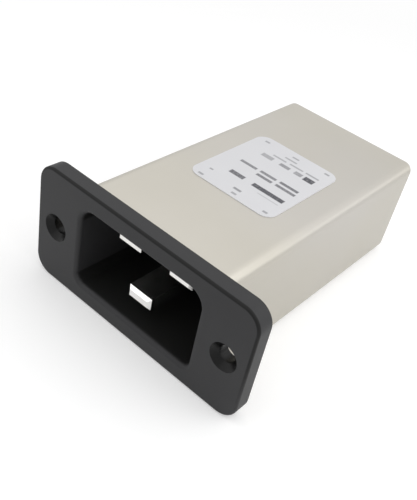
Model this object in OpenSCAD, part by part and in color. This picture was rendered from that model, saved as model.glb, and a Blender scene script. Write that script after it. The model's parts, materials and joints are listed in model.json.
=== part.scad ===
// Panel-mount mains inlet with a built-in line filter.
// Millimetres. X runs along the flange, +Y into the panel, +Z up. The origin is the middle of the
// flange's rear face, which is the face that seats on the panel.

/* [Flange] */
// Length of the flange
flange_width = 62.1; // [60:0.1:66]
// Height of the flange
flange_height = 29.6; // [29.2:0.1:33]
// Thickness of the flange
flange_thickness = 4; // [3.4:0.1:5]
// Corner radius of the flange outline
flange_corner = 4.6; // [3:0.1:6]
// Rounding of the front edges
flange_edge = 0.6; // [0.3:0.1:1]
// Distance between the two screw holes
screw_spacing = 50; // [49:0.5:52]
// Diameter of the screw holes
screw_hole = 4; // [3:0.1:4.4]
// Diameter of the countersinks at the front face
screw_head = 6.9; // [6.4:0.1:7.6]

/* [Inlet recess] */
// Width of the recess
recess_width = 34.8; // [33:0.2:35.2]
// Height of the recess
recess_height = 20.4; // [19:0.2:21]
// Depth of the recess behind the front face
recess_depth = 25; // [23:0.5:27]
// Radius of the two upper recess corners
recess_top_corner = 3.8; // [2.4:0.2:4.4]
// Radius of the two lower recess corners
recess_bottom_corner = 2; // [1.2:0.2:3]
// Rounding of the recess mouth
recess_mouth = 1; // [0.4:0.1:1.2]
// Thickness of the recess floor
floor_thickness = 2; // [1.6:0.2:3]

/* [Contact blades] */
// Width of a blade
blade_width = 6.6; // [5:0.2:7]
// Thickness of a blade
blade_thickness = 3; // [2:0.2:3.2]
// Distance between the line and neutral blades
blade_pitch = 15; // [14:0.5:16]
// Height of the line and neutral blades above the middle
blade_rise = 5.3; // [5:0.1:6.4]
// Depth of the earth blade below the middle
earth_drop = 4.2; // [3:0.1:4.5]
// Depth of the line and neutral tips behind the front face
line_tip_depth = 5.1; // [4:0.1:7]
// Depth of the earth tip behind the front face
earth_tip_depth = 2.2; // [1.5:0.1:4]
// Chamfer of the blade tips
tip_chamfer = 0.7; // [0.2:0.1:0.9]

/* [Can] */
// Outer width of the can
can_width = 40.4; // [40:0.2:42]
// Outer height of the can
can_height = 27.8; // [27.4:0.1:28.4]
// Length of the can behind the flange
can_length = 77.2; // [76.8:0.2:90]
// Sheet thickness of the can
can_wall = 0.6; // [0.4:0.1:0.8]
// Radius of the long edges
can_edge = 2.5; // [2.2:0.1:3.4]
// Radius of the drawn end edges
can_end_edge = 2; // [1.2:0.1:2.2]
// Drop of the can's middle below the flange's middle
can_drop = 0.5; // [0:0.1:0.6]

/* [Label] */
// Width of the label
label_width = 24; // [16:0.5:30]
// Length of the label along the can
label_length = 29.4; // [20:0.5:34]
// Corner radius of the label
label_corner = 3; // [1:0.5:5]
// Thickness of the label
label_thickness = 0.15; // [0.1:0.05:0.3]
// Distance from the panel face to the label
label_start = 22.8; // [10:0.5:34]

/* [Load terminals] */
// Width of the push-on tabs
tab_width = 6.3; // [4.8:0.1:6.4]
// Thickness of the tabs
tab_thickness = 0.8; // [0.5:0.1:1]
// Length of a tab outside its insulator
tab_reach = 8.5; // [7:0.5:10]
// Distance between the two load tabs
tab_pitch = 15; // [14:0.5:17]
// Projection of the insulator through the can
nose_reach = 2; // [1.2:0.2:3]
// Distance from a tab's tip to its detent hole
detent_setback = 4.2; // [3.6:0.1:5]

/* [Circuit] */
// Outer diameter of the choke ring
core_outer = 25; // [23:0.5:25.5]
// Bore of the choke ring
core_inner = 13; // [12.5:0.5:14]
// Height of the choke ring
core_height = 11; // [8:0.5:12]
// Diameter of the choke wire
wire_diameter = 1.2; // [0.8:0.1:1.2]
// Turns in each choke winding
turns = 8; // [5:1:8]
// Width of the line-to-line capacitor
capacitor_width = 26; // [22:0.5:28]
// Depth of the line-to-line capacitor
capacitor_depth = 8.5; // [6:0.5:8.5]
// Height of the line-to-line capacitor
capacitor_height = 16; // [12:0.5:17]
// Diameter of the earth capacitor discs
disc_diameter = 8; // [6:0.5:8.5]
// Thickness of the earth capacitor discs
disc_thickness = 3.2; // [2.4:0.2:3.4]
// Thickness of the circuit board
board_thickness = 1.6; // [1:0.2:2]

/* [Hidden] */
$fn = 48;
lap = 0.5;                  // overlap of cutters with the space around them
fit = 0.05;                 // play of a piece in its slot, each side
can_fit = 0.1;              // play of the mouldings in the can, each side
front = -flange_thickness;
can_bottom = -can_drop - can_height / 2;
can_top = can_bottom + can_height;
bore_bottom = can_bottom + can_wall;
bore_half = can_width / 2 - can_wall;
bore_end = can_length - can_wall;
recess_floor = front + recess_depth;
floor_back = recess_floor + floor_thickness;
shoulder = 1.2;
tail_length = 5;
tail_width = 3.4;
tail_thickness = 1.2;
detent_radius = 0.8;
lead_radius = 0.6;
lead_y = floor_back + shoulder + tail_length / 2;
liner_thickness = 0.4;
liner_height = 22;
liner_inner = bore_half - can_fit - liner_thickness;
under_board = 2;
board_bottom = bore_bottom + can_fit + liner_thickness + under_board;
board_top = board_bottom + board_thickness;
lead_end = board_bottom - 1.2;
board_start = floor_back + 1.2;
shelf_reach = 3;
shelf_lip = 1.4;
board_width = 2 * (liner_inner - 1);
block_thickness = 3.8;
block_front = bore_end - block_thickness;
board_end = block_front + 1.6;
block_top = 3;
tab_height = -4;
nose_width = tab_pitch + tab_width + 4;
nose_height = 8.4;
nose_end = can_length + nose_reach;
leg_width = 3;
leg_y = block_front - 1.8;
earth_height = 7.4;
plate_height = 7.6;
rivet_radius = 1.6;
rivet_head = 2.2;
rivet_head_height = 0.8;
capacitor_gap = 4.3;          // from the leads to the capacitor's face
capacitor_y = lead_y + capacitor_gap + capacitor_depth / 2;
capacitor_pin = 22.5 / 2 - 1.5;
winding_offset = wire_diameter / 2 + 0.15;
winding_reach = core_outer / 2 + winding_offset + wire_diameter / 2;
choke_y = capacitor_y + capacitor_depth / 2 + 1 + winding_reach;
core_bottom = board_top + 2.2;
core_top = core_bottom + core_height;
winding_sweep = 130;
half_turn = 180;
divider_half = 0.8;
disc_x = 13.4;
disc_y = leg_y - tab_thickness / 2 - 0.6 - disc_thickness / 2;
disc_lift = 1;
disc_pin = 2.5;
pin_radius = 0.35;
resistor_radius = 1.4;
resistor_length = 7;
resistor_pin = 5;
resistor_y = lead_y + 1.8;
pad_y = disc_y + disc_thickness / 2;
lead_headroom = 3;            // from the can's top sheet down to the earth lead
lead_run_out = 8;             // from the end of the earth lead's level run to the can's end
lead_aside = 1.1;             // from the middle of the rivet to each earth lead
lead_bend = 1.6;
lead_rise = -2;               // height of the first bend of the capacitors' earth lead

// ---- outlines ----

module rounded(width, height, radius) {
    square([width - 2 * radius, height], center = true);
    square([width, height - 2 * radius], center = true);
    for (x = [-1, 1], y = [-1, 1])
        translate([x * (width / 2 - radius), y * (height / 2 - radius)]) circle(radius);
}

// Recess outline: larger radii at the upper corners than at the lower ones.
module recess_outline() {
    half = recess_width / 2;
    top = recess_height / 2;
    translate([-half + recess_top_corner, 0])
        square([recess_width - 2 * recess_top_corner, top]);
    translate([-half, 0]) square([recess_width, top - recess_top_corner]);
    translate([-half + recess_bottom_corner, -top])
        square([recess_width - 2 * recess_bottom_corner, top]);
    translate([-half, -top + recess_bottom_corner])
        square([recess_width, top - recess_bottom_corner]);
    for (x = [-1, 1]) {
        translate([x * (half - recess_top_corner), top - recess_top_corner])
            circle(recess_top_corner);
        translate([x * (half - recess_bottom_corner), recess_bottom_corner - top])
            circle(recess_bottom_corner);
    }
}

// Section of the rounded rim where a wall turns into a closed end.
module rim_section(edge, end) {
    square([edge - end, end]);
    translate([edge - end, 0])
        intersection() {
            circle(end);
            square(end);
        }
}

// Section cut away to round the mouth of a pocket whose wall stands at x = 0.
module mouth_section() {
    difference() {
        translate([-lap, -recess_mouth]) square([recess_mouth + lap, recess_mouth + lap]);
        translate([recess_mouth, -recess_mouth]) circle(recess_mouth);
    }
}

// ---- shared forms ----

// Turns a form raised along Z so that it runs along +Y and keeps Z up.
module into_panel() {
    rotate([-90, 0, 0]) mirror([0, 1, 0]) children();
}

// Box with rounded long edges and one rounded, closed end, as drawn sheet and mouldings have.
module drawn_form(width, height, length, edge, end) {
    in_x = width / 2 - edge;
    in_y = height / 2 - edge;
    linear_extrude(length - end) rounded(width, height, edge);
    translate([0, 0, length - end]) {
        linear_extrude(end) square([2 * in_x, 2 * in_y], center = true);
        for (turn = [0, 180]) rotate(turn) {
            translate([in_x, in_y, 0]) rotate([90, 0, 0])
                linear_extrude(2 * in_y) rim_section(edge, end);
            translate([-in_x, in_y, 0]) rotate([90, 0, 90])
                linear_extrude(2 * in_x) rim_section(edge, end);
            translate([in_x, in_y, 0]) rotate_extrude(angle = 90) rim_section(edge, end);
            translate([-in_x, in_y, 0]) rotate(90) rotate_extrude(angle = 90)
                rim_section(edge, end);
        }
    }
}

// Cutter that rounds the recess mouth all the way round, with its front face at z = 0.
module mouth_cutter() {
    half = recess_width / 2;
    top = recess_height / 2;
    for (side = [-1, 1]) {
        translate([side * half, recess_bottom_corner - top, 0]) mirror([side < 0 ? 1 : 0, 0, 0])
            rotate([90, 0, 0]) translate([0, 0, recess_top_corner + recess_bottom_corner - 2 * top])
                linear_extrude(2 * top - recess_top_corner - recess_bottom_corner)
                    mouth_section();
        translate([side * (half - recess_top_corner), top - recess_top_corner, 0])
            rotate(side > 0 ? 0 : 90) rotate_extrude(angle = 90)
                translate([recess_top_corner, 0]) mouth_section();
        translate([side * (half - recess_bottom_corner), recess_bottom_corner - top, 0])
            rotate(side > 0 ? -90 : 180) rotate_extrude(angle = 90)
                translate([recess_bottom_corner, 0]) mouth_section();
    }
    translate([recess_top_corner - half, top, 0]) rotate([90, 0, 90])
        linear_extrude(recess_width - 2 * recess_top_corner) mouth_section();
    translate([half - recess_bottom_corner, -top, 0]) rotate([90, 0, -90])
        linear_extrude(recess_width - 2 * recess_bottom_corner) mouth_section();
}

// ---- bent wire ----

function unit(v) = v / norm(v);
function heading(path, k) = unit(path[min(k + 1, len(path) - 1)] - path[max(k - 1, 0)]);
function square_to(v, t) = unit(v - (v * t) * t);

// Directions across a path that turn with it and never twist.
function across(path, first) = [
    for (k = 0, s = square_to(first, heading(path, 0)); k < len(path);
         k = k + 1, s = square_to(s, heading(path, k))) s
];

// Corner points of a path replaced by smooth bends.
function eased(points, bend) = [
    for (k = [0 : len(points) - 1])
        if (k == 0 || k == len(points) - 1) points[k]
        else let (a = points[k] + bend * unit(points[k - 1] - points[k]),
                  b = points[k] + bend * unit(points[k + 1] - points[k]))
            for (t = [0 : 0.25 : 1])
                (1 - t) * (1 - t) * a + 2 * t * (1 - t) * points[k] + t * t * b
];

module wire(path, radius, first) {
    sides = 10;
    last = len(path) - 1;
    s = across(path, first);
    points = [for (k = [0 : last], j = [0 : sides - 1])
        let (a = 360 * j / sides)
            path[k] + radius * (cos(a) * s[k] + sin(a) * cross(heading(path, k), s[k]))];
    walls = [for (k = [0 : last - 1], j = [0 : sides - 1])
        let (n = (j + 1) % sides)
            [k * sides + j, (k + 1) * sides + j, (k + 1) * sides + n, k * sides + n]];
    start_cap = [[for (j = [0 : sides - 1]) j]];
    end_cap = [[for (j = [sides - 1 : -1 : 0]) last * sides + j]];
    polyhedron(points, concat(start_cap, walls, end_cap));
}

// ---- inlet ----

module blade_slot(x, z) {
    translate([x - blade_width / 2 - fit, recess_floor - lap, z - blade_thickness / 2 - fit])
        cube([blade_width + 2 * fit, floor_thickness + 2 * lap, blade_thickness + 2 * fit]);
}

module screw_cutter() {
    sink = (screw_head - screw_hole) / 2;
    translate([0, 0, -lap]) cylinder(h = flange_thickness + 2 * lap, d = screw_hole);
    translate([0, 0, flange_thickness - sink])
        cylinder(h = sink, d1 = screw_hole, d2 = screw_head);
    translate([0, 0, flange_thickness]) cylinder(h = lap, d = screw_head);
}

module inlet_moulding() {
    color("#1c1c1e") difference() {
        union() {
            rotate([90, 0, 0]) drawn_form(flange_width, flange_height, flange_thickness,
                                          flange_corner, flange_edge);
            translate([0, 0, -can_drop]) into_panel() linear_extrude(floor_back)
                rounded(2 * (bore_half - can_fit), can_height - 2 * (can_wall + can_fit),
                        can_edge - can_wall);
            translate([-board_width / 2 + 1, floor_back - lap, board_bottom - shelf_lip])
                cube([board_width - 2, shelf_reach + lap, board_thickness + 2 * shelf_lip]);
        }
        rotate([90, 0, 0]) {
            translate([0, 0, -recess_floor]) linear_extrude(recess_depth + lap) recess_outline();
            translate([0, 0, flange_thickness]) mouth_cutter();
            for (side = [-1, 1]) translate([side * screw_spacing / 2, 0, 0]) screw_cutter();
        }
        for (side = [-1, 1]) blade_slot(side * blade_pitch / 2, blade_rise);
        blade_slot(0, -earth_drop);
        translate([-board_width / 2 - lap, board_start - fit, board_bottom - fit])
            cube([board_width + 2 * lap, shelf_reach + lap, board_thickness + 2 * fit]);
    }
}

// Flat contact blade: chamfered tip, shoulder that seats on the back of the recess floor and a
// pierced tail for its lead.
module blade(x, z, tip) {
    length = floor_back - front - tip;
    half = blade_width / 2;
    thick = blade_thickness / 2;
    color("#c9c8c4") translate([x, front + tip, z]) difference() {
        union() {
            intersection() {
                translate([0, 0, -thick]) linear_extrude(blade_thickness)
                    polygon([[-half, tip_chamfer], [tip_chamfer - half, 0], [half - tip_chamfer, 0],
                             [half, tip_chamfer], [half, length + shoulder / 2],
                             [-half, length + shoulder / 2]]);
                translate([-half, 0, 0]) rotate([90, 0, 90]) linear_extrude(blade_width)
                    polygon([[0, tip_chamfer - thick], [tip_chamfer, -thick],
                             [length + shoulder / 2, -thick], [length + shoulder / 2, thick],
                             [tip_chamfer, thick], [0, thick - tip_chamfer]]);
            }
            translate([-half - 1, length, -thick]) cube([blade_width + 2, shoulder, blade_thickness]);
            translate([-tail_width / 2, length + shoulder / 2, -tail_thickness / 2])
                cube([tail_width, tail_length + shoulder / 2, tail_thickness]);
        }
        translate([0, lead_y - front - tip, -thick - lap])
            cylinder(h = blade_thickness + 2 * lap, r = lead_radius + fit);
    }
}

module line_blade() blade(-blade_pitch / 2, blade_rise, line_tip_depth);
module neutral_blade() blade(blade_pitch / 2, blade_rise, line_tip_depth);
module earth_blade() blade(0, -earth_drop, earth_tip_depth);

// ---- can ----

module filter_can() {
    color("#cfcac0") difference() {
        translate([0, 0, -can_drop]) into_panel() difference() {
            drawn_form(can_width, can_height, can_length, can_edge, can_end_edge);
            translate([0, 0, -lap])
                drawn_form(can_width - 2 * can_wall, can_height - 2 * can_wall, bore_end + lap,
                           can_edge - can_wall, can_end_edge - can_wall);
        }
        translate([-nose_width / 2 - can_fit, bore_end - lap, tab_height - nose_height / 2 - can_fit])
            cube([nose_width + 2 * can_fit, can_wall + 2 * lap, nose_height + 2 * can_fit]);
        translate([0, bore_end - lap, earth_height]) into_panel()
            cylinder(h = can_wall + 2 * lap, r = rivet_radius + fit);
    }
}

module rating_label() {
    color("#e8e8ea") translate([0, label_start + label_length / 2, can_top])
        linear_extrude(label_thickness) rounded(label_width, label_length, label_corner);
}

// Insulating film bent into a trough between the circuit and the can.
module insulating_liner() {
    outer = can_fit + can_wall;
    color("#b9b07c") translate([0, floor_back + fit, 0]) intersection() {
        translate([0, 0, -can_drop]) into_panel() linear_extrude(block_front - floor_back - 2 * fit)
            difference() {
                rounded(can_width - 2 * outer, can_height - 2 * outer, can_edge - can_wall);
                rounded(can_width - 2 * outer - 2 * liner_thickness,
                        can_height - 2 * outer - 2 * liner_thickness,
                        can_edge - can_wall - liner_thickness);
            }
        translate([-can_width / 2, -lap, bore_bottom - lap])
            cube([can_width, can_length, liner_height + lap]);
    }
}

// ---- circuit ----

function on_choke(angle, r, z) = [r * cos(angle), choke_y + r * sin(angle), z];

// One winding: up from the board, round the ring in evenly spaced turns and down again.
function winding(start, sweep) =
    let (inner = core_inner / 2, outer = core_outer / 2, e = winding_offset,
         r = [outer, inner, inner, outer], z = [core_top, core_top, core_bottom, core_bottom],
         loop = [for (q = [0 : 3], m = [0 : 3])
             [r[q] + e * cos(90 * q + 30 * m), z[q] + e * sin(90 * q + 30 * m)]])
    concat(
        [on_choke(start, outer + e, lead_end), on_choke(start, outer + e, core_bottom)],
        [for (k = [0 : turns - 1], i = [0 : 15])
            if (k < turns - 1 || i < 12)
                on_choke(start + sweep * (k + i / 16) / turns, loop[i][0], loop[i][1])],
        eased([on_choke(start + sweep, outer - e, core_bottom - e),
               on_choke(start + sweep, outer + e, core_bottom - e),
               on_choke(start + sweep, outer + e, lead_end)], 0.5)
    );

line_path = winding(half_turn - winding_sweep / 2, winding_sweep);
neutral_path = winding(-winding_sweep / 2, winding_sweep);
winding_ends = [line_path[0], line_path[len(line_path) - 1],
                neutral_path[0], neutral_path[len(neutral_path) - 1]];

module board_hole(x, y, radius) {
    translate([x, y, board_bottom - lap]) cylinder(h = board_thickness + 2 * lap, r = radius + can_fit);
}

module circuit_board() {
    color("#3f5f3a") difference() {
        translate([-board_width / 2, board_start, board_bottom])
            cube([board_width, board_end - board_start, board_thickness]);
        for (side = [-1, 1]) {
            board_hole(side * blade_pitch / 2, lead_y, lead_radius);
            board_hole(side * resistor_pin, resistor_y, pin_radius);
            board_hole(side * capacitor_pin, capacitor_y, lead_radius);
            for (pin = [-1, 1]) board_hole(side * disc_x + pin * disc_pin, disc_y, pin_radius);
            translate([side * tab_pitch / 2 - leg_width / 2 - can_fit,
                       leg_y - tab_thickness / 2 - can_fit, board_bottom - lap])
                cube([leg_width + 2 * can_fit, tab_thickness + 2 * can_fit,
                      board_thickness + 2 * lap]);
        }
        for (end = winding_ends) board_hole(end[0], end[1], wire_diameter / 2);
        board_hole(0, pad_y, lead_radius);
    }
}

module choke_core() {
    round = 0.8;
    inner = core_inner / 2;
    color("#3d4a42") translate([0, choke_y, core_bottom]) rotate_extrude()
        translate([(core_inner + core_outer) / 4, core_height / 2])
            rounded(core_outer / 2 - inner, core_height, round);
}

// Insulating wall between the two windings, with a foot that carries the ring.
module choke_divider() {
    color("#e6e2d6") translate([-divider_half, choke_y, board_top]) {
        translate([0, -core_outer / 2, 0])
            cube([2 * divider_half, core_outer, core_bottom - board_top]);
        translate([0, can_fit - core_inner / 2, 0])
            cube([2 * divider_half, core_inner - 2 * can_fit, core_top - board_top]);
    }
}

module line_winding() {
    color("#b5673a") wire(line_path, wire_diameter / 2, [1, 0, 0]);
}

module neutral_winding() {
    color("#b5673a") wire(neutral_path, wire_diameter / 2, [1, 0, 0]);
}

module x_capacitor() {
    color("#d8b23c") translate([0, capacitor_y, board_top]) {
        linear_extrude(capacitor_height) rounded(capacitor_width, capacitor_depth, 0.6);
        for (side = [-1, 1]) translate([side * capacitor_pin, 0, lead_end - board_top])
            cylinder(h = board_top - lead_end + 1, r = lead_radius);
    }
}

// Ceramic disc capacitor standing on its two pins.
module disc_capacitor(side) {
    round = 1;
    half = disc_thickness / 2;
    color("#3f6fae") translate([side * disc_x, disc_y, board_top + disc_lift + disc_diameter / 2]) {
        rotate([90, 0, 0]) rotate_extrude() {
            translate([0, -half]) square([disc_diameter / 2 - round, disc_thickness]);
            translate([0, round - half]) square([disc_diameter / 2, disc_thickness - 2 * round]);
            for (z = [-1, 1]) translate([disc_diameter / 2 - round, z * (half - round)])
                circle(round);
        }
        for (pin = [-1, 1])
            translate([pin * disc_pin, 0, lead_end - board_top - disc_lift - disc_diameter / 2])
                cylinder(h = board_top - lead_end + disc_lift + disc_diameter / 2, r = pin_radius);
    }
}

module line_y_capacitor() disc_capacitor(-1);
module neutral_y_capacitor() disc_capacitor(1);

module bleed_resistor() {
    axis = board_top + resistor_radius + 0.2;
    color("#7fa7c4") translate([0, resistor_y, 0]) {
        translate([-resistor_length / 2, 0, axis]) rotate([0, 90, 0])
            cylinder(h = resistor_length, r = resistor_radius);
        wire(eased([[-resistor_pin, 0, lead_end], [-resistor_pin, 0, axis], [resistor_pin, 0, axis],
                    [resistor_pin, 0, lead_end]], 0.7), pin_radius, [0, 1, 0]);
    }
}

// Bare wire that drops from a blade's tail into the board.
module drop_lead(side) {
    color("#c9c8c4") translate([side * blade_pitch / 2, lead_y, lead_end])
        cylinder(h = blade_rise + tail_thickness - lead_end, r = lead_radius);
}

module line_lead() drop_lead(-1);
module neutral_lead() drop_lead(1);

rivet_tail = bore_end - rivet_head_height;

module earth_lead() {
    over = can_top - can_wall - lead_headroom;
    color("#8fa63a") wire(eased([[0, lead_y, -earth_drop - tail_thickness], [0, lead_y, over],
                                 [0, bore_end - lead_run_out, over],
                                 [lead_aside, bore_end - lead_run_out / 2, earth_height],
                                 [lead_aside, rivet_tail - fit, earth_height]], lead_bend),
                          lead_radius, [1, 0, 0]);
}

module capacitor_earth_lead() {
    color("#c9c8c4") wire(eased([[0, pad_y, lead_end], [0, pad_y, lead_rise],
                                 [-lead_aside, pad_y, earth_height],
                                 [-lead_aside, rivet_tail - fit, earth_height]], lead_bend),
                          lead_radius, [0, 1, 0]);
}

// ---- load side ----

module terminal_block() {
    color("#e9e6dc") difference() {
        union() {
            intersection() {
                translate([0, 0, -can_drop]) into_panel()
                    drawn_form(2 * (bore_half - can_fit), can_height - 2 * (can_wall + can_fit), bore_end,
                               can_edge - can_wall, can_end_edge - can_wall);
                translate([-bore_half, block_front, can_bottom])
                    cube([2 * bore_half, block_thickness, block_top - can_bottom]);
            }
            translate([-nose_width / 2, bore_end - lap, tab_height - nose_height / 2])
                cube([nose_width, nose_end - bore_end + lap, nose_height]);
        }
        for (side = [-1, 1])
            translate([side * tab_pitch / 2 - tab_width / 2 - fit, block_front - lap,
                       tab_height - tab_thickness / 2 - fit])
                cube([tab_width + 2 * fit, nose_end - block_front + 2 * lap,
                      tab_thickness + 2 * fit]);
        translate([-bore_half, block_front - lap, board_bottom - fit])
            cube([2 * bore_half, board_end - block_front + lap + fit,
                  board_thickness + 2 * fit]);
    }
}

// Push-on tab outline with a chamfered tip and a detent hole, from y = 0 outwards.
module tab_outline(length) {
    half = tab_width / 2;
    nip = 1;
    difference() {
        polygon([[-half, 0], [half, 0], [half, length - nip], [half - nip, length],
                 [nip - half, length], [-half, length - nip]]);
        translate([0, length - detent_setback]) circle(detent_radius);
    }
}

// Strip that turns through a right angle, seen edge on: along +x, then up from the origin.
module bent_strip(along, rise) {
    bend = 0.6;
    outer = bend + tab_thickness;
    translate([outer, 0]) square([along - outer, tab_thickness]);
    translate([0, outer]) square([tab_thickness, rise - outer]);
    translate([outer, outer]) intersection() {
        difference() {
            circle(outer);
            circle(bend);
        }
        translate([-outer, -outer]) square(outer);
    }
}

module load_tab(side) {
    leg = leg_y - tab_thickness / 2;
    color("#cfcdc8") translate([side * tab_pitch / 2, 0, tab_height - tab_thickness / 2]) {
        translate([0, block_front, 0]) linear_extrude(tab_thickness)
            tab_outline(nose_end + tab_reach - block_front);
        translate([-tab_width / 2 - 0.8, block_front - 0.8, 0])
            cube([tab_width + 1.6, 0.8, tab_thickness]);
        translate([-leg_width / 2, leg, tab_thickness]) mirror([0, 0, 1]) rotate([90, 0, 90])
            linear_extrude(leg_width)
                bent_strip(block_front - leg, tab_height + tab_thickness / 2 - lead_end);
    }
}

module line_tab() load_tab(-1);
module neutral_tab() load_tab(1);

// Angle piece riveted to the end of the can: a plate and a push-on tab.
module earth_tab() {
    low = earth_height - plate_height / 2;
    color("#cfcdc8") difference() {
        union() {
            translate([-tab_width / 2, can_length, low]) rotate([90, 0, 90])
                linear_extrude(tab_width) bent_strip(3, plate_height);
            translate([0, can_length + 2.5, low]) linear_extrude(tab_thickness)
                tab_outline(nose_reach + tab_reach - 2.5);
        }
        translate([0, can_length - lap, earth_height]) into_panel()
            cylinder(h = tab_thickness + 2 * lap, r = rivet_radius + fit);
    }
}

module earth_rivet() {
    color("#d8d6d0") translate([0, rivet_tail, earth_height]) into_panel() {
        cylinder(h = rivet_head_height, r = rivet_head);
        cylinder(h = rivet_head_height + can_wall + tab_thickness + lap, r = rivet_radius);
        translate([0, 0, rivet_head_height + can_wall + tab_thickness])
            cylinder(h = rivet_head_height, r = rivet_head);
    }
}

inlet_moulding();
line_blade();
neutral_blade();
earth_blade();
filter_can();
rating_label();
insulating_liner();
circuit_board();
choke_core();
choke_divider();
line_winding();
neutral_winding();
x_capacitor();
line_y_capacitor();
neutral_y_capacitor();
bleed_resistor();
line_lead();
neutral_lead();
earth_lead();
capacitor_earth_lead();
terminal_block();
line_tab();
neutral_tab();
earth_tab();
earth_rivet();
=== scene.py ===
import bpy
import bmesh
import json
import math
from mathutils import Matrix, Vector


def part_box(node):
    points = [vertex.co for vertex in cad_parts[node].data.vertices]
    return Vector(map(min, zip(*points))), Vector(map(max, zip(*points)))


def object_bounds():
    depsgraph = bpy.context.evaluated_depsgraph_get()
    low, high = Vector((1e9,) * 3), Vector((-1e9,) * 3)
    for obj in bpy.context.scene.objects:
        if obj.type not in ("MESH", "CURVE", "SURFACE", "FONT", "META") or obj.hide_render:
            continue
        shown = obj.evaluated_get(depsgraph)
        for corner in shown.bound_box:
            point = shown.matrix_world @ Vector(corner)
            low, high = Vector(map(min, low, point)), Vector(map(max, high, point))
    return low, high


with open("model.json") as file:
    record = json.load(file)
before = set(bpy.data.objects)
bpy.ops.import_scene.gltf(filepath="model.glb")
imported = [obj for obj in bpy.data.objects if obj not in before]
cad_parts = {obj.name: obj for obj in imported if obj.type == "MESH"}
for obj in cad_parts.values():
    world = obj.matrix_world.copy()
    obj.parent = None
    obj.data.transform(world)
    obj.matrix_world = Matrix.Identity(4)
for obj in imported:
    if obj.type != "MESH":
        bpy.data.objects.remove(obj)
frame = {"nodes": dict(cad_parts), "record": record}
cadLow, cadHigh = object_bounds()
nodes = frame["nodes"]
record = frame["record"]
mm = 0.001


# one socket of a node tree, so that maths on it reads as an expression
class Value:
    def __init__(self, tree, socket):
        self.tree, self.socket = tree, socket

    def __add__(self, other): return self.tree.math("ADD", self, other)
    def __radd__(self, other): return self.tree.math("ADD", other, self)
    def __sub__(self, other): return self.tree.math("SUBTRACT", self, other)
    def __rsub__(self, other): return self.tree.math("SUBTRACT", other, self)
    def __mul__(self, other): return self.tree.math("MULTIPLY", self, other)
    def __rmul__(self, other): return self.tree.math("MULTIPLY", other, self)
    def __truediv__(self, other): return self.tree.math("DIVIDE", self, other)
    def __rtruediv__(self, other): return self.tree.math("DIVIDE", other, self)
    def __pow__(self, other): return self.tree.math("POWER", self, other)
    def __lt__(self, other): return self.tree.math("LESS_THAN", self, other)
    def __gt__(self, other): return self.tree.math("GREATER_THAN", self, other)
    def __abs__(self): return self.tree.math("ABSOLUTE", self)

    def larger(self, other): return self.tree.math("MAXIMUM", self, other)

    # 0 at low, 1 at high, with a soft start and end
    def between(self, low, high):
        return self.tree.node("ShaderNodeMapRange", {"interpolation_type": "SMOOTHSTEP"},
                              {"Value": self, "From Min": low, "From Max": high})


# a node tree that is being built up
class Tree:
    def __init__(self, tree):
        self.tree = tree
        tree.nodes.clear()

    def node(self, kind, settings=None, inputs=None, out=0):
        made = self.tree.nodes.new(kind)
        for key, value in (settings or {}).items():
            setattr(made, key, value)
        for key, value in (inputs or {}).items():
            if isinstance(value, Value):
                self.tree.links.new(value.socket, made.inputs[key])
            elif value is not None:
                made.inputs[key].default_value = value
        return Value(self, made.outputs[out]) if made.outputs else made

    def math(self, operation, *values):
        return self.node("ShaderNodeMath", {"operation": operation}, dict(enumerate(values)))

    def mix(self, share, first, second):
        colours = [c if isinstance(c, Value) else (*c, 1) for c in (first, second)]
        return self.node("ShaderNodeMix", {"data_type": "RGBA"},
                         {0: share, 6: colours[0], 7: colours[1]}, out=2)

    # place on the part in millimetres, as a vector that may be stretched
    def place(self, stretch=(1, 1, 1)):
        spot = self.node("ShaderNodeTexCoord", out="Object")
        return self.node("ShaderNodeVectorMath", {"operation": "MULTIPLY"},
                         {0: spot, 1: [s / mm for s in stretch]})

    def axes(self):
        spot = self.place()
        return [self.node("ShaderNodeSeparateXYZ", None, {0: spot}, out=k) for k in range(3)]

    # cloudy pattern from 0 to 1 whose features are about size millimetres long
    def cloud(self, size, detail=2, stretch=(1, 1, 1)):
        return self.node("ShaderNodeTexNoise", {"noise_dimensions": "3D"},
                         {"Vector": self.place(stretch), "Scale": 1 / size, "Detail": detail,
                          "Roughness": 0.5})

    def bump(self, height, depth, before=None):
        return self.node("ShaderNodeBump", None,
                         {"Height": height, "Distance": depth * mm, "Strength": 1.0,
                          "Normal": before})


# a new material and its empty node tree
def finish(name):
    material = bpy.data.materials.new(name)
    material.use_nodes = True
    return material, Tree(material.node_tree)


# closes a node tree with its shader, whose sockets are named with underscores
def surface(tree, **sockets):
    shader = tree.node("ShaderNodeBsdfPrincipled", None,
                       {k.replace("_", " "): v for k, v in sockets.items()})
    tree.node("ShaderNodeOutputMaterial", None, {"Surface": shader})


# puts a material in every slot of the named pieces
def dress(material, *names):
    for name in names:
        slots = nodes[name].material_slots
        if not slots:
            nodes[name].data.materials.append(material)
        for slot in slots:
            slot.material = material


# black inlet moulding: lengths in millimetres, colours linear
moulding = {
    "face": (0.040, 0.040, 0.0415), "patch": (0.034, 0.034, 0.0355), "patchSize": 9,
    "roughness": 0.50, "roughnessRange": 0.10, "specular": 0.20,
    "grainSize": 0.16, "grainDepth": 0.020, "flowSize": 14, "flowDepth": 0.06,
    # the socket colour is painted shade that darkens the inside of the recess
    "socket": (0.014, 0.014, 0.0135), "socketRoughness": 0.38, "socketGrain": 0.3,
    "mouthBlend": 0.5,
    # the rim colour is painted shade along the flange's rounded front edge
    "rim": (0.007, 0.007, 0.007), "rimWidth": 0.75, "rimCorner": 4.6,
    "rimFade": (-10, 3),                              # heights between which the painted rim shade fades in
    # the sink colour is painted shade that darkens the screw holes
    "sink": (0.002, 0.002, 0.002), "sinkRadius": 3.6, "sinkRoughness": 0.26, "sinkEdge": 0.06,
    "dust": (0.30, 0.30, 0.29), "dustSpacing": 5.5, "dustSize": 0.022,
    "dustField": 11, "dustLevel": 0.46,               # specks lie only where the field is higher
}
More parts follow.
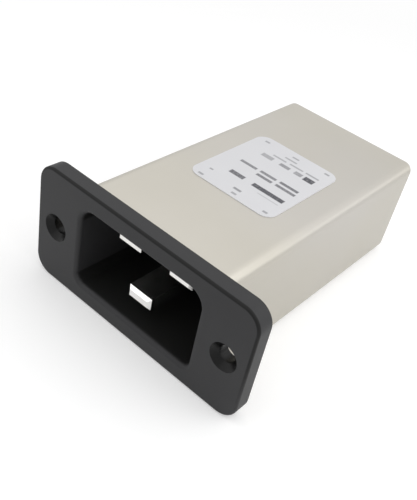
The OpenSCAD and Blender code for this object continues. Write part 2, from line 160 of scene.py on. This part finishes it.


# 1 inside the socket, behind its rounded mouth; the colour there is darkened as painted shade
def socketMask(tree, look, front):
    openings = [o["box_m"] for o in record["physics"]["openings"]]
    halfWidth = max(b[1][0] for b in openings) / mm + look["mouthBlend"]
    halfHeight = max(b[1][2] for b in openings) / mm + look["mouthBlend"]
    x, y, z = tree.axes()
    deep = y.between(front + look["mouthBlend"], front + 3 * look["mouthBlend"])
    return deep * (abs(x) < halfWidth) * (abs(z) < halfHeight)


# 1 on the front edge of the flange, where painted shade darkens the colour, fading out towards its
# lower side
def rimMask(tree, look, front):
    low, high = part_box("inlet_moulding")
    corner, width = look["rimCorner"], look["rimWidth"]
    x, y, z = tree.axes()
    pastX = (abs(x) - (high.x / mm - corner)).larger(0)
    pastZ = (abs(z) - (high.z / mm - corner)).larger(0)
    inward = corner - (pastX * pastX + pastZ * pastZ) ** 0.5     # distance in from the outline
    rim = 1 - inward.between(width / 2, width)
    return rim * (1 - y.between(front + width / 2, front + width)) * z.between(*look["rimFade"])


# 1 in the countersinks and bores of the two screw holes, whose colour is darkened as painted shade
def sinkMask(tree, look, front):
    screws = next(m["dims"] for m in record["mounts"] if m["name"] == "panel_screws")
    x, y, z = tree.axes()
    aside = abs(x) - screws["spacing_x_mm"] / 2
    sink = aside * aside + z * z < look["sinkRadius"] ** 2
    return sink * (y > front + look["sinkEdge"]) * (y < -look["sinkEdge"])   # the panel is at y = 0


# 1 on sparse specks of dust
def dustMask(tree, look):
    dots = tree.node("ShaderNodeTexVoronoi", {"feature": "F1"},
                     {"Vector": tree.place(), "Scale": 1 / look["dustSpacing"]}, out="Distance")
    dusty = tree.cloud(look["dustField"], 0) > look["dustLevel"]
    return (dots < look["dustSize"]) * dusty


def mouldingFinish(look):
    material, tree = finish("blackMoulding")
    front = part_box("inlet_moulding")[0].y / mm
    socket = socketMask(tree, look, front)
    sink = sinkMask(tree, look, front)
    grain = tree.cloud(look["grainSize"], 3)
    colour = tree.mix(tree.cloud(look["patchSize"], 2), look["patch"], look["face"])
    # painted shade inside the socket
    colour = tree.mix(socket, colour, look["socket"])
    # painted shade along the flange's front edge
    colour = tree.mix(rimMask(tree, look, front), colour, look["rim"])
    # painted shade in the screw holes
    colour = tree.mix(sink, colour, look["sink"])
    colour = tree.mix(dustMask(tree, look) * (1 - socket), colour, look["dust"])
    rough = look["roughness"] + look["roughnessRange"] * (grain - 0.5)
    rough = rough + socket * (look["socketRoughness"] - look["roughness"])
    rough = rough + sink * (look["sinkRoughness"] - look["roughness"])
    raised = tree.bump(tree.cloud(look["flowSize"], 1), look["flowDepth"])
    raised = tree.bump(grain * (1 - (1 - look["socketGrain"]) * socket), look["grainDepth"], raised)
    surface(tree, Base_Color=colour, Roughness=rough, Specular_IOR_Level=look["specular"],
            Normal=raised)
    return material


dress(mouldingFinish(moulding), "inlet_moulding")
print("moulding dressed")

# plated and tinned metals: two shades in clouds, a cool tint, drawn lines and a slow waviness
can = {
    "bright": (0.525, 0.502, 0.449), "dull": (0.488, 0.465, 0.413), "cool": (0.52, 0.501, 0.475),
    "roughness": 0.40, "roughnessRange": 0.10, "metallic": 1.0,
    "lineSize": 0.22, "lineStretch": (1, 0.03, 1), "lineDepth": 0.0035,
    "cloudSize": 16, "waveSize": 34, "waveDepth": 0.05,
}
contacts = {
    "bright": (0.93, 0.92, 0.90), "dull": (0.84, 0.83, 0.80), "cool": (0.90, 0.90, 0.91),
    "roughness": 0.24, "roughnessRange": 0.12, "metallic": 1.0,
    "lineSize": 0.12, "lineStretch": (1, 0.05, 1), "lineDepth": 0.002,
    "cloudSize": 3, "waveSize": 8, "waveDepth": 0.0,
}
tabs = {
    "bright": (0.56, 0.55, 0.52), "dull": (0.44, 0.43, 0.40), "cool": (0.51, 0.52, 0.53),
    "roughness": 0.30, "roughnessRange": 0.18, "metallic": 1.0,
    "lineSize": 0.15, "lineStretch": (1, 0.08, 1), "lineDepth": 0.003,
    "cloudSize": 2.4, "waveSize": 5, "waveDepth": 0.01,
}
rivet = {
    "bright": (0.47, 0.47, 0.46), "dull": (0.37, 0.37, 0.36), "cool": (0.42, 0.43, 0.45),
    "roughness": 0.32, "roughnessRange": 0.14, "metallic": 1.0,
    "lineSize": 0.4, "lineStretch": (1, 1, 1), "lineDepth": 0.012,
    "cloudSize": 1.6, "waveSize": 2.2, "waveDepth": 0.02,
}
tinnedWire = {
    "bright": (0.80, 0.80, 0.78), "dull": (0.70, 0.70, 0.68), "cool": (0.76, 0.77, 0.79),
    "roughness": 0.34, "roughnessRange": 0.16, "metallic": 1.0,
    "lineSize": 0.25, "lineStretch": (1, 1, 0.1), "lineDepth": 0.006,
    "cloudSize": 1.5, "waveSize": 3, "waveDepth": 0.01,
}
tintScale = 2.7                                       # how much wider the tint is than the clouds
tintRange = (0.4, 0.75)
tintShare = 0.6
cloudShare = 0.6                                      # the rest of the roughness follows the lines


def platedFinish(name, look):
    material, tree = finish(name)
    lines = tree.cloud(look["lineSize"], 2, look["lineStretch"])
    clouds = tree.cloud(look["cloudSize"], 3)
    tint = tree.cloud(look["cloudSize"] * tintScale, 1)
    wave = tree.cloud(look["waveSize"], 0)
    colour = tree.mix(clouds, look["dull"], look["bright"])
    colour = tree.mix(tint.between(*tintRange) * tintShare, colour, look["cool"])
    texture = cloudShare * clouds + (1 - cloudShare) * lines
    rough = look["roughness"] + look["roughnessRange"] * (texture - 0.5)
    raised = tree.bump(wave, look["waveDepth"])
    raised = tree.bump(lines, look["lineDepth"], raised)
    surface(tree, Base_Color=colour, Metallic=look["metallic"], Roughness=rough, Normal=raised)
    return material


dress(platedFinish("platedSheet", can), "filter_can")
dress(platedFinish("platedContacts", contacts), "line_blade", "neutral_blade", "earth_blade")
dress(platedFinish("tinnedTabs", tabs), "line_tab", "neutral_tab", "earth_tab")
dress(platedFinish("rivetSteel", rivet), "earth_rivet")
dress(platedFinish("tinnedWire", tinnedWire), "line_lead", "neutral_lead", "capacitor_earth_lead")
print("metals dressed")

# bars stand for the print: distance from the label's front edge, left and right end measured
# from the label's middle and bar height, in millimetres, and how dark it is from 0 to 1
label = {
    "film": (0.67, 0.67, 0.685), "shade": (0.64, 0.64, 0.66), "edge": (0.80, 0.80, 0.82),
    "shadeSize": 8, "ink": (0.030, 0.030, 0.042), "inkSheen": 0.08,
    "wearSize": 0.5, "wearRange": (0.25, 0.6), "wear": 0.2,
    "roughness": 0.46, "roughnessRange": 0.1, "specular": 0.3,
    "grainSize": 0.35, "grainDepth": 0.004, "filmDepth": 0.02,
    "bars": [
        (1.2, -9.6, -8.1, 0.7, 0.5), (1.4, 0.2, 1.6, 0.7, 0.5), (1.7, 9.0, 10.3, 0.7, 0.5),
        (3.3, -0.7, 1.5, 0.8, 0.6), (4.8, -9.2, -8.2, 0.6, 0.5),
        (6.3, 3.9, 9.8, 0.35, 0.25),
        (8.3, 1.0, 9.9, 1.5, 0.95), (8.3, -5.8, -1.6, 1.5, 0.85),
        (12.6, -1.2, 3.3, 1.0, 0.75), (12.8, 4.3, 9.9, 1.0, 0.75),
        (14.2, -7.3, -2.4, 1.0, 0.7), (14.4, -1.4, 3.3, 1.0, 0.7), (14.6, 4.3, 9.6, 1.0, 0.8),
        (21.3, 6.6, 9.4, 1.9, 0.95), (21.4, 3.7, 5.9, 1.5, 0.55), (21.3, -0.7, 2.3, 1.3, 0.6),
        (21.3, -6.2, -2.8, 1.6, 0.45),
        (23.6, 5.6, 9.4, 0.6, 0.5), (23.5, 0.8, 4.8, 0.6, 0.45), (23.3, -4.2, -0.2, 0.6, 0.45),
        (25.1, -1.8, 1.8, 0.6, 0.45), (26.9, -0.8, 1.2, 0.6, 0.5),
        (27.1, -9.6, -8.2, 0.7, 0.5), (27.7, 8.4, 9.8, 0.7, 0.5),
    ],
    "softness": 0.14,
}


def labelFinish(look):
    material, tree = finish("labelFilm")
    low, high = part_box("rating_label")
    middle = (low.x + high.x) / 2 / mm
    x, y, z = tree.axes()
    solid = tree.cloud(look["wearSize"], 2).between(*look["wearRange"])
    soft = look["softness"]
    ink = 0
    for start, left, right, height, dark in look["bars"]:
        centre = middle + (left + right) / 2
        along = 1 - abs(x - centre).between((right - left) / 2 - soft, (right - left) / 2 + soft)
        across = 1 - abs(y - (low.y / mm + start)).between(height / 2 - soft, height / 2 + soft)
        bar = along * across * dark
        ink = bar if ink == 0 else ink.larger(bar)
    top = z > high.z / mm - look["filmDepth"]
    grain = tree.cloud(look["grainSize"], 2)
    film = tree.mix(tree.cloud(look["shadeSize"], 1), look["shade"], look["film"])
    film = tree.mix(top, look["edge"], film)
    colour = tree.mix(ink * top * (1 - look["wear"] + look["wear"] * solid), film, look["ink"])
    rough = look["roughness"] + look["roughnessRange"] * (grain - 0.5) - look["inkSheen"] * ink
    surface(tree, Base_Color=colour, Roughness=rough, Specular_IOR_Level=look["specular"],
            Normal=tree.bump(grain, look["grainDepth"]))
    return material


dress(labelFinish(label), "rating_label")
print("label dressed")

# plain mouldings and coatings
terminal = {
    "base": (0.66, 0.635, 0.55), "patch": (0.61, 0.585, 0.50), "patchSize": 6,
    "roughness": 0.46, "grainSize": 0.25, "grainDepth": 0.010, "coat": 0,
}
spacer = {
    "base": (0.78, 0.76, 0.68), "patch": (0.72, 0.69, 0.60), "patchSize": 4,
    "roughness": 0.5, "grainSize": 0.3, "grainDepth": 0.008, "coat": 0,
}
liner = {
    "base": (0.62, 0.55, 0.33), "patch": (0.50, 0.44, 0.25), "patchSize": 10,
    "roughness": 0.34, "grainSize": 0.8, "grainDepth": 0.004, "coat": 0.2,
}
ferrite = {
    "base": (0.055, 0.075, 0.062), "patch": (0.035, 0.050, 0.042), "patchSize": 2.4,
    "roughness": 0.52, "grainSize": 0.35, "grainDepth": 0.030, "coat": 0,
}
boxCapacitor = {
    "base": (0.70, 0.46, 0.06), "patch": (0.60, 0.38, 0.04), "patchSize": 5,
    "roughness": 0.30, "grainSize": 0.5, "grainDepth": 0.006, "coat": 0.2,
}
discCoating = {
    "base": (0.045, 0.15, 0.42), "patch": (0.03, 0.11, 0.33), "patchSize": 2,
    "roughness": 0.28, "grainSize": 1.4, "grainDepth": 0.05, "coat": 0.4,
}
resistorBody = {
    "base": (0.22, 0.42, 0.58), "patch": (0.17, 0.35, 0.50), "patchSize": 2, "coat": 0.3,
    "roughness": 0.30, "roughnessRange": 0.1, "grainSize": 0.6, "grainDepth": 0.012,
}
leadPins = (0.74, 0.74, 0.72)                         # tinned pins of the capacitors and the resistor
grainSheen = 0.12                                     # how much the grain changes the roughness


# a plain solid colour with a slow patchiness and a fine grain
def plainFinish(name, look, pinsBelow=None):
    material, tree = finish(name)
    grain = tree.cloud(look["grainSize"], 2)
    colour = tree.mix(tree.cloud(look["patchSize"], 2), look["patch"], look["base"])
    rough = look["roughness"] + grainSheen * (grain - 0.5)
    metal = 0
    if pinsBelow is not None:
        metal = tree.axes()[2] < pinsBelow
        colour = tree.mix(metal, colour, leadPins)
    surface(tree, Base_Color=colour, Roughness=rough, Metallic=metal, Coat_Weight=look["coat"],
            Normal=tree.bump(grain, look["grainDepth"]))
    return material


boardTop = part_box("circuit_board")[1].z / mm
dress(plainFinish("terminalMoulding", terminal), "terminal_block")
dress(plainFinish("spacerMoulding", spacer), "choke_divider")
dress(plainFinish("linerFilm", liner), "insulating_liner")
dress(plainFinish("ferrite", ferrite), "choke_core")
dress(plainFinish("capacitorBox", boxCapacitor, boardTop), "x_capacitor")
dress(plainFinish("discCoating", discCoating, boardTop + 1), "line_y_capacitor",
      "neutral_y_capacitor")

board = {
    "base": (0.030, 0.105, 0.035), "patch": (0.045, 0.135, 0.045), "weave": (0.07, 0.17, 0.06),
    "patchSize": 7, "weaveSize": 0.55, "weaveShare": 0.35, "weaveDepth": 0.006, "roughness": 0.36,
    "edge": (0.32, 0.34, 0.18), "edgeRoughness": 0.25, "lacquerDepth": 0.05,
}


# green lacquer over woven glass, with the raw laminate showing at the cut edges
def boardFinish(look):
    material, tree = finish("boardLaminate")
    low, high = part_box("circuit_board")
    x, y, z = tree.axes()
    warp = tree.math("SINE", x * (2 * math.pi / look["weaveSize"]))
    weft = tree.math("SINE", y * (2 * math.pi / look["weaveSize"]))
    weave = 0.5 + 0.25 * (warp + weft)
    colour = tree.mix(tree.cloud(look["patchSize"], 2), look["base"], look["patch"])
    colour = tree.mix(weave * look["weaveShare"], colour, look["weave"])
    lacquer = look["lacquerDepth"]
    edge = (z < high.z / mm - lacquer) * (z > low.z / mm + lacquer)
    colour = tree.mix(edge, colour, look["edge"])
    surface(tree, Base_Color=colour, Roughness=look["roughness"] + look["edgeRoughness"] * edge,
            Normal=tree.bump(weave, look["weaveDepth"]))
    return material


dress(boardFinish(board), "circuit_board")

winding = {
    "bright": (0.70, 0.27, 0.10), "dull": (0.55, 0.18, 0.06), "cloudSize": 2.2,
    "metallic": 0.9, "roughness": 0.26, "roughnessRange": 0.1, "coat": 0.6,
    "grainSize": 0.5, "grainDepth": 0.006,
}


# clear enamel over drawn copper
def enamelFinish(look):
    material, tree = finish("enamelledCopper")
    grain = tree.cloud(look["grainSize"], 2)
    colour = tree.mix(tree.cloud(look["cloudSize"], 2), look["dull"], look["bright"])
    rough = look["roughness"] + look["roughnessRange"] * grain
    surface(tree, Base_Color=colour, Metallic=look["metallic"], Roughness=rough,
            Coat_Weight=look["coat"], Normal=tree.bump(grain, look["grainDepth"]))
    return material


dress(enamelFinish(winding), "line_winding", "neutral_winding")

resistorBands = {"colours": [(0.30, 0.02, 0.02), (0.02, 0.02, 0.02), (0.75, 0.55, 0.03),
                             (0.45, 0.20, 0.03)],
                 "places": [-2.2, -1.1, 0.0, 2.0], "width": 0.6, "bodyHalf": 3.5}


def resistorFinish(look, bands):
    material, tree = finish("resistorBody")
    x, y, z = tree.axes()
    grain = tree.cloud(look["grainSize"], 1)
    colour = tree.mix(tree.cloud(look["patchSize"], 1), look["patch"], look["base"])
    for place, paint in zip(bands["places"], bands["colours"]):
        colour = tree.mix(abs(x - place) < bands["width"] / 2, colour, paint)
    pins = abs(x) > bands["bodyHalf"]
    colour = tree.mix(pins, colour, leadPins)
    rough = look["roughness"] + look["roughnessRange"] * grain
    surface(tree, Base_Color=colour, Metallic=pins, Roughness=rough, Coat_Weight=look["coat"],
            Normal=tree.bump(grain, look["grainDepth"]))
    return material


dress(resistorFinish(resistorBody, resistorBands), "bleed_resistor")

earthWire = {
    "green": (0.10, 0.30, 0.06), "yellow": (0.72, 0.62, 0.05), "stripe": 1.3,
    "level": 0.1,                                     # above 0, the yellow stripe is the narrower one
    "roughness": 0.42, "roughnessRange": 0.1, "grainSize": 0.5, "grainDepth": 0.008,
}


# green insulation with a yellow stripe that winds round it
def earthWireFinish(look):
    material, tree = finish("earthInsulation")
    x, y, z = tree.axes()
    stripe = tree.math("SINE", (y + z + x * 2) * (math.pi / look["stripe"]))
    grain = tree.cloud(look["grainSize"], 2)
    colour = tree.mix(stripe > look["level"], look["green"], look["yellow"])
    surface(tree, Base_Color=colour, Roughness=look["roughness"] + look["roughnessRange"] * grain,
            Normal=tree.bump(grain, look["grainDepth"]))
    return material


dress(earthWireFinish(earthWire), "earth_lead")
print("inner pieces dressed")

# pale paper floor and white surroundings
studio = {
    "floorSize": 2.4,                                 # metres
    "floor": (0.80, 0.80, 0.80), "floorRoughness": 0.7, "floorGrain": 0.8, "floorDepth": 0.01,
    "floorGlow": 0.29, "floorDrop": 0.02,             # the floor lies this far under the part
    "fadeStart": 130, "fadeEnd": 330,                 # where the floor turns plain white
    "ambient": 0.55, "white": (1.0, 1.0, 1.0),
}


# 1 for what the camera sees, directly or in a mirror or through glass
def watchedRays(tree):
    seen = tree.node("ShaderNodeLightPath", out="Is Camera Ray")
    mirrored = tree.node("ShaderNodeLightPath", out="Is Glossy Ray")
    through = tree.node("ShaderNodeLightPath", out="Is Transmission Ray")
    return seen.larger(mirrored).larger(through)


def makeFloor(look):
    mesh = bpy.data.meshes.new("floor")
    shape = bmesh.new()
    bmesh.ops.create_grid(shape, x_segments=8, y_segments=8, size=look["floorSize"] / 2)
    shape.to_mesh(mesh)
    shape.free()
    floor = bpy.data.objects.new("floor", mesh)
    bpy.context.scene.collection.objects.link(floor)
    floor.location = (0, (cadLow.y + cadHigh.y) / 2, cadLow.z - look["floorDrop"] * mm)
    material, tree = finish("paleFloor")
    watched = watchedRays(tree)
    spot = tree.node("ShaderNodeTexCoord", out="Object")
    away = tree.node("ShaderNodeVectorMath", {"operation": "LENGTH"}, {0: spot}, out="Value") / mm
    fade = away.between(look["fadeStart"], look["fadeEnd"])
    grain = tree.bump(tree.cloud(look["floorGrain"]), look["floorDepth"])
    lit = tree.node("ShaderNodeBsdfPrincipled", None,
                    {"Base Color": (*look["floor"], 1), "Roughness": look["floorRoughness"],
                     "Specular IOR Level": 0.0, "Normal": grain})
    glow = tree.node("ShaderNodeEmission", None,
                     {"Color": (*look["white"], 1), "Strength": watched * look["floorGlow"]})
    paper = tree.node("ShaderNodeAddShader", None, {0: lit, 1: glow})
    white = tree.node("ShaderNodeEmission", None, {"Color": (*look["white"], 1), "Strength": 1.0})
    paper = tree.node("ShaderNodeMixShader", None, {0: fade * watched, 1: paper, 2: white})
    clear = tree.node("ShaderNodeBsdfTransparent")
    under = tree.node("ShaderNodeNewGeometry", out="Backfacing")
    both = tree.node("ShaderNodeMixShader", None, {0: under, 1: paper, 2: clear})
    tree.node("ShaderNodeOutputMaterial", None, {"Surface": both})
    mesh.materials.append(material)


def makeWorld(look):
    world = bpy.data.worlds.new("studioWorld")
    bpy.context.scene.world = world
    world.use_nodes = True
    tree = Tree(world.node_tree)
    strength = look["ambient"] + watchedRays(tree) * (1 - look["ambient"])
    sky = tree.node("ShaderNodeBackground", None,
                    {"Color": (*look["white"], 1), "Strength": strength})
    tree.node("ShaderNodeOutputWorld", None, {"Surface": sky})


# places, aims and sizes in millimetres, power in watts
lamps = [
    {"name": "keyLamp", "place": (-130, 60, 430), "aim": (-130, 60, 0),
     "size": (800, 800), "power": 0.98},
    {"name": "fillLamp", "place": (-150, -160, 115), "aim": (-25, 0, 0),
     "size": (260, 260), "power": 0.095},
    {"name": "edgeLamp", "place": (260, 390, 105), "aim": (10, 40, 5),
     "size": (320, 130), "power": 0.085},
    {"name": "sideLamp", "place": (170, 60, 150), "aim": (50, 50, -15),
     "size": (220, 220), "power": 0.20},
]


# turns a lamp or camera to its aim, with roll in degrees about the line of sight
def aimed(obj, aim, roll=0):
    back = obj.location - Vector(aim) * mm
    turn = back.to_track_quat("Z", "Y").to_matrix().to_4x4()
    turn = turn @ Matrix.Rotation(math.radians(roll), 4, "Z")
    obj.matrix_world = Matrix.Translation(obj.location) @ turn


def makeLamps():
    for lamp in lamps:
        light = bpy.data.lights.new(lamp["name"], "AREA")
        light.shape = "RECTANGLE"
        light.size, light.size_y = lamp["size"][0] * mm, lamp["size"][1] * mm
        light.energy = lamp["power"]
        holder = bpy.data.objects.new(lamp["name"], light)
        bpy.context.scene.collection.objects.link(holder)
        holder.location = Vector(lamp["place"]) * mm
        holder.visible_camera = False
        aimed(holder, lamp["aim"])


camera = {
    "place": (70.733, -87.612, 98.173), "aim": (-5.746, 29.622, -9.898), "roll": 13.082,
    "lens": 50.426, "sensor": 36, "near": 0.005, "far": 10,
}


def makeCamera(look):
    data = bpy.data.cameras.new("studioCamera")
    data.lens, data.sensor_width = look["lens"], look["sensor"]
    data.clip_start, data.clip_end = look["near"], look["far"]
    holder = bpy.data.objects.new("studioCamera", data)
    bpy.context.scene.collection.objects.link(holder)
    holder.location = Vector(look["place"]) * mm
    aimed(holder, look["aim"], look["roll"])
    bpy.context.scene.camera = holder


makeFloor(studio)
makeWorld(studio)
makeLamps()
makeCamera(camera)
bpy.context.scene.view_settings.view_transform = "Standard"
print("studio ready")
